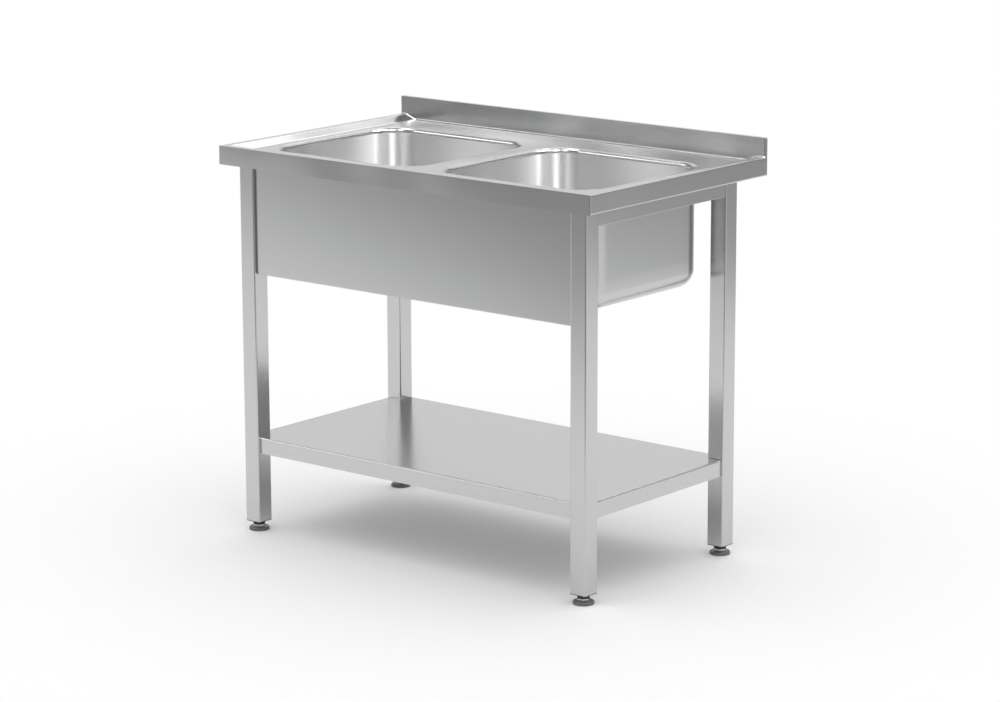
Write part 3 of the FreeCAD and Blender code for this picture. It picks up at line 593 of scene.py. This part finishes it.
class SINK_OT_bowls(bpy.types.Operator):
    """Draw both bowls, and dress their wastes and plugs"""

    bl_idname = "sink.bowls"
    bl_label = "Bowls and wastes"

    def execute(self, context):
        for side in SIDES:
            self.draw_bowl(side, context.scene.sink_forms)
            dress("Bright screw", f"{side}_waste_body")
            dress("Black rubber", f"{side}_waste_seal", f"{side}_lower_seal")
            dress("Black plastic", f"{side}_backnut", f"{side}_plug")
        return {"FINISHED"}

    def draw_bowl(self, side, forms):
        """Bowl with a brushed inside and a duller outside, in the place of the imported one."""
        low, high = (np.array(corner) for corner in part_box(f"{side}_bowl"))
        half = (high - low) / 2 - forms.sheet
        floor = low[2] + forms.sheet + forms.seat_depth
        rings = bowl_rings(half[0], half[1], high[2], floor, forms)
        rings[..., :2] += (low[:2] + high[:2]) / 2
        bowl = ring_surface(f"{side}_drawn_bowl", rings,
                            (material_named("Steel drawn bowl with painted light"), material_named("Steel bowl outside")))
        wall = bowl.modifiers.new("Sheet", "SOLIDIFY")
        wall.thickness = forms.sheet
        wall.offset = -1.0
        wall.material_offset = 1
        wall.material_offset_rim = 1
        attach(bowl, BODY)
        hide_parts(f"{side}_bowl")


class SINK_OT_frame(bpy.types.Operator):
    """Dress the legs, rails, stiffeners, apron and fasteners"""

    bl_idname = "sink.frame"
    bl_label = "Frame and apron"

    def execute(self, context):
        dress("Steel brushed upright", *(f"{place}_leg" for place in LEG_PLACES))
        dress("Steel brushed along X", "front_rail", "rear_rail", "front_stiffener", "rear_stiffener",
              "front_apron")
        dress("Steel brushed along Y", "left_rail", "right_rail", "left_stiffener", "right_stiffener",
              "divider_stiffener")
        dress("Bright screw", "worktop_studs", "stud_nuts", "apron_screws", "shelf_bolts",
              "leg_rivet_nuts")
        return {"FINISHED"}


class SINK_OT_shelf(bpy.types.Operator):
    """Dress the under-shelf and its rib"""

    bl_idname = "sink.shelf"
    bl_label = "Under-shelf"

    def execute(self, context):
        dress("Steel brushed along X", "shelf", "shelf_rib")
        return {"FINISHED"}


class SINK_OT_feet(bpy.types.Operator):
    """Dress the four adjustable feet and cut their screws' threads"""

    bl_idname = "sink.feet"
    bl_label = "Feet"

    def execute(self, context):
        for place in LEG_PLACES:
            dress("Black plastic", f"{place}_insert")
            dress("Foot plastic", f"{place}_foot_pad")
            self.cut_screw(place, context.scene.sink_forms)
        return {"FINISHED"}

    def cut_screw(self, place, forms):
        """Hexagon, spigot below it and threaded stem above it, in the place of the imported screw."""
        low, high = (np.array(corner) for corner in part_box(f"{place}_foot_screw"))
        seat = low[2] + forms.spigot_depth
        top = seat + forms.hexagon_height
        chamfer = forms.hexagon_edge
        spigot = turned((forms.spigot - chamfer / 2, forms.spigot, forms.spigot),
                        (low[2], low[2] + chamfer / 2, seat + chamfer))
        thread = thread_rings(forms.stem, forms.pitch, top - chamfer, high[2] - chamfer)
        tip = turned((forms.stem - chamfer,), (high[2],))
        parts = {"hexagon": hexagon_rings(forms.hexagon, seat, top, chamfer), "spigot": spigot,
                 "stem": np.concatenate((thread, tip))}
        for name, rings in parts.items():
            rings[..., :2] += (low[:2] + high[:2]) / 2
            made = ring_surface(f"{place}_foot_{name}", rings, (material_named("Bright screw"),),
                                caps=True)
            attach(made, f"{place}_screw")
            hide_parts(f"{place}_foot_screw")


class SINK_OT_studio(bpy.types.Operator):
    """Lay the pale floor and light the room"""

    bl_idname = "sink.studio"
    bl_label = "Studio"

    def execute(self, context):
        studio = context.scene.sink_studio
        self.lay_floor(studio)
        self.light_room(context.scene, studio)
        return {"FINISHED"}

    def lay_floor(self, studio):
        """Square floor, which fades away from the unit in what the steel mirrors of it.

        The brightness is the floor's own to the camera, and to the steel that times the front fade
        times the back fade, each straight from 1 down to what is left of it.
        """
        half = studio.floor_size / 2
        mesh = bpy.data.meshes.new("Floor")
        corners = [(-half, -half, 0), (half, -half, 0), (half, half, 0), (-half, half, 0)]
        mesh.from_pydata(corners, [], [(0, 1, 2, 3)])
        floor = bpy.data.objects.new("Floor", mesh)
        bpy.context.scene.collection.objects.link(floor)
        material = bpy.data.materials.new("Pale floor")
        material.use_nodes = True
        material.node_tree.nodes.clear()
        mesh.materials.append(material)
        w = Wiring(material.node_tree)
        where = w.node("ShaderNodeTexCoord").outputs["Object"]
        part = w.node("ShaderNodeSeparateXYZ", {0: where}).outputs
        front = w.math("ADD", *(w.math("MULTIPLY", part[axis], share)
                                for axis, share in zip("XY", FRONT_WAY)))
        fades = [w.remap(distance, start, end, 1.0, left)
                 for distance, (start, end, left) in ((front, FRONT_FADE), (part["Y"], BACK_FADE))]
        ray = w.node("ShaderNodeLightPath").outputs
        seen = w.remap(ray["Is Glossy Ray"], 0.0, 1.0, 1.0, w.math("MULTIPLY", *fades))
        tone = w.node("ShaderNodeVectorMath", {0: tuple(studio.floor_colour), "Scale": seen},
                      operation="SCALE")
        matt = w.node("ShaderNodeBsdfDiffuse", {"Color": tone.outputs[0]})
        glow = w.node("ShaderNodeEmission", {"Strength": w.math("MULTIPLY", seen, studio.floor_glow)})
        lit = w.node("ShaderNodeAddShader", {0: matt.outputs[0], 1: glow.outputs[0]})
        w.node("ShaderNodeOutputMaterial", {"Surface": lit.outputs[0]})

    def light_room(self, scene, studio):
        """World: soft light, white to the camera, and walls and a ceiling for the steel to mirror.

        The soft light is side light + 2 (1 - side light) z squared, with z the height of the direction.
        """
        world = bpy.data.worlds.new("Studio")
        scene.world = world
        world.use_nodes = True
        world.node_tree.nodes.clear()
        w = Wiring(world.node_tree)
        direction = w.node("ShaderNodeTexCoord").outputs["Generated"]
        part = w.node("ShaderNodeSeparateXYZ", {0: direction}).outputs
        leftward = w.math("MULTIPLY", part["X"], -1.0)
        azimuth = w.math("DEGREES", w.math("ARCTAN2", leftward, part["Y"]))
        elevation = w.math("DEGREES", w.math("ARCSINE", part["Z"]))
        room = w.remap(elevation, *CEILING_EDGE, studio.wall, studio.ceiling, smooth=True)
        group = soft_box_group()
        for heading, height, half_width, half_height, brightness in SOFT_BOXES.values():
            box = w.node("ShaderNodeGroup", {"Azimuth": azimuth, "Elevation": elevation,
                                             "Heading": heading, "Height": height,
                                             "Half width": half_width, "Half height": half_height,
                                             "Edge": studio.soft_edge}, node_tree=group)
            room = w.math("ADD", room, w.math("MULTIPLY", box.outputs["Mask"], brightness))
        from_above = 2.0 * (1.0 - studio.side_light)
        overhead = w.math("MULTIPLY", w.math("POWER", part["Z"], 2.0), from_above)
        soft = w.math("ADD", overhead, studio.side_light)
        ray = w.node("ShaderNodeLightPath").outputs
        seen = w.node("ShaderNodeMix", {0: ray["Is Camera Ray"], 2: soft, 3: 1.0}).outputs[0]
        strength = w.node("ShaderNodeMix", {0: ray["Is Glossy Ray"], 2: seen, 3: room}).outputs[0]
        back = w.node("ShaderNodeBackground", {"Color": (1, 1, 1, 1), "Strength": strength})
        w.node("ShaderNodeOutputWorld", {"Surface": back.outputs[0]})


class SINK_OT_camera(bpy.types.Operator):
    """Stand the camera where the unit is seen from its front right corner"""

    bl_idname = "sink.camera"
    bl_label = "Camera"

    def execute(self, context):
        fit = context.scene.sink_camera
        cos_pitch = math.cos(fit.pitch)
        forward = Vector((-math.sin(fit.yaw) * cos_pitch, math.cos(fit.yaw) * cos_pitch,
                          -math.sin(fit.pitch)))
        level = Vector((math.cos(fit.yaw), math.sin(fit.yaw), 0.0))
        upright = level.cross(forward)
        right = level * math.cos(fit.roll) + upright * math.sin(fit.roll)
        up = right.cross(forward)
        turn = Matrix((right, up, -forward)).transposed().to_4x4()
        data = bpy.data.cameras.new("Camera")
        data.sensor_width = SENSOR_WIDTH
        data.lens = fit.lens
        camera = bpy.data.objects.new("Camera", data)
        camera.matrix_world = Matrix.Translation(fit.place) @ turn
        context.scene.collection.objects.link(camera)
        context.scene.camera = camera
        return {"FINISHED"}


class SINK_PT_panel(bpy.types.Panel):
    """Sidebar panel with every step and the values behind them"""

    bl_idname = "SINK_PT_panel"
    bl_label = "Sink unit"
    bl_space_type = "VIEW_3D"
    bl_region_type = "UI"
    bl_category = "Sink unit"

    def draw(self, context):
        scene = context.scene
        for values in (scene.sink_finish, scene.sink_forms, scene.sink_studio, scene.sink_camera):
            box = self.layout.box()
            for name in values.__annotations__:
                box.prop(values, name)
        for operator in STEPS:
            self.layout.operator(operator.bl_idname)


# ---------------------------------------------------------------- add-on
STEPS = (SINK_OT_finishes, SINK_OT_camera, SINK_OT_studio, SINK_OT_worktop, SINK_OT_bowls,
         SINK_OT_frame, SINK_OT_shelf, SINK_OT_feet)
CLASSES = (SINK_PG_finish, SINK_PG_forms, SINK_PG_studio, SINK_PG_camera) + STEPS + (SINK_PT_panel,)


def register():
    for cls in CLASSES:
        bpy.utils.register_class(cls)
    bpy.types.Scene.sink_finish = PointerProperty(type=SINK_PG_finish)
    bpy.types.Scene.sink_forms = PointerProperty(type=SINK_PG_forms)
    bpy.types.Scene.sink_studio = PointerProperty(type=SINK_PG_studio)
    bpy.types.Scene.sink_camera = PointerProperty(type=SINK_PG_camera)


def unregister():
    del bpy.types.Scene.sink_camera
    del bpy.types.Scene.sink_studio
    del bpy.types.Scene.sink_forms
    del bpy.types.Scene.sink_finish
    for cls in reversed(CLASSES):
        bpy.utils.unregister_class(cls)


def main():
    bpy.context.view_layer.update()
    register()
    bpy.context.scene.view_settings.view_transform = "Standard"
    for operator in STEPS:
        group, name = operator.bl_idname.split(".")
        getattr(getattr(bpy.ops, group), name)()


if __name__ == "__main__":
    main()
